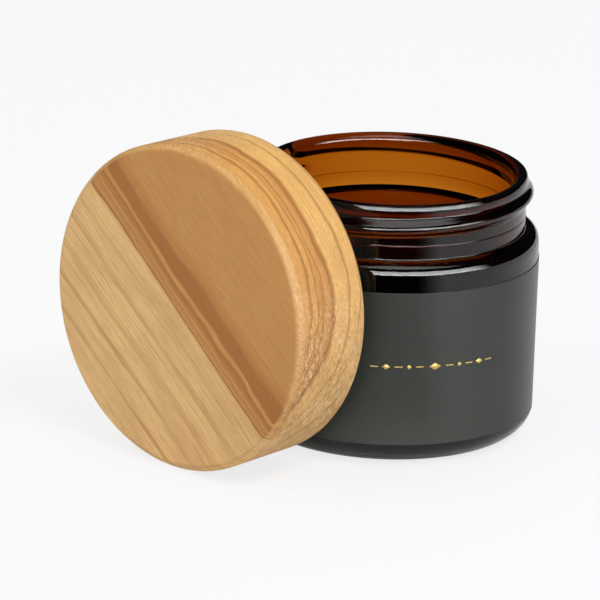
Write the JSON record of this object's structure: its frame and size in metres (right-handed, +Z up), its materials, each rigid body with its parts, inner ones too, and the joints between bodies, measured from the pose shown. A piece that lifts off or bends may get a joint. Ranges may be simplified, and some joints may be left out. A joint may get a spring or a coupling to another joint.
{
  "type": "cosmetic cream jar",
  "caption": "Open round amber glass cream jar with screw neck and dark wrap label, and its turned wooden screw lid standing on edge beside it.",
  "frame": {"origin": "centre of the footprint of the jar and the standing lid together, on the table", "axes": "+Z up along the jar's axis, -Y the way the standing lid's top faces, +X to the right when looking along +Y"},
  "size_m": [0.067, 0.0776, 0.0608],
  "materials": {
    "amber_glass": "glossy moulded amber",
    "label_film": "satin dark green-grey film",
    "wood": "turned and oiled",
    "insert_plastic": "moulded polypropylene",
    "foam": "closed-cell foam"
  },
  "bodies": {
    "jar": {"glass_jar": "amber_glass", "label": "label_film"},
    "lid": {"lid_shell": "wood", "thread_insert": "insert_plastic", "liner": "foam"}
  },
  "joints": [
    {"name": "lid_tip", "type": "hinge", "parent": "jar", "child": "lid", "pos_m": [-0.00307, -0.0388, 0], "axis": [1, 0, 0], "range_deg": [0, 90.67]}
  ]
}
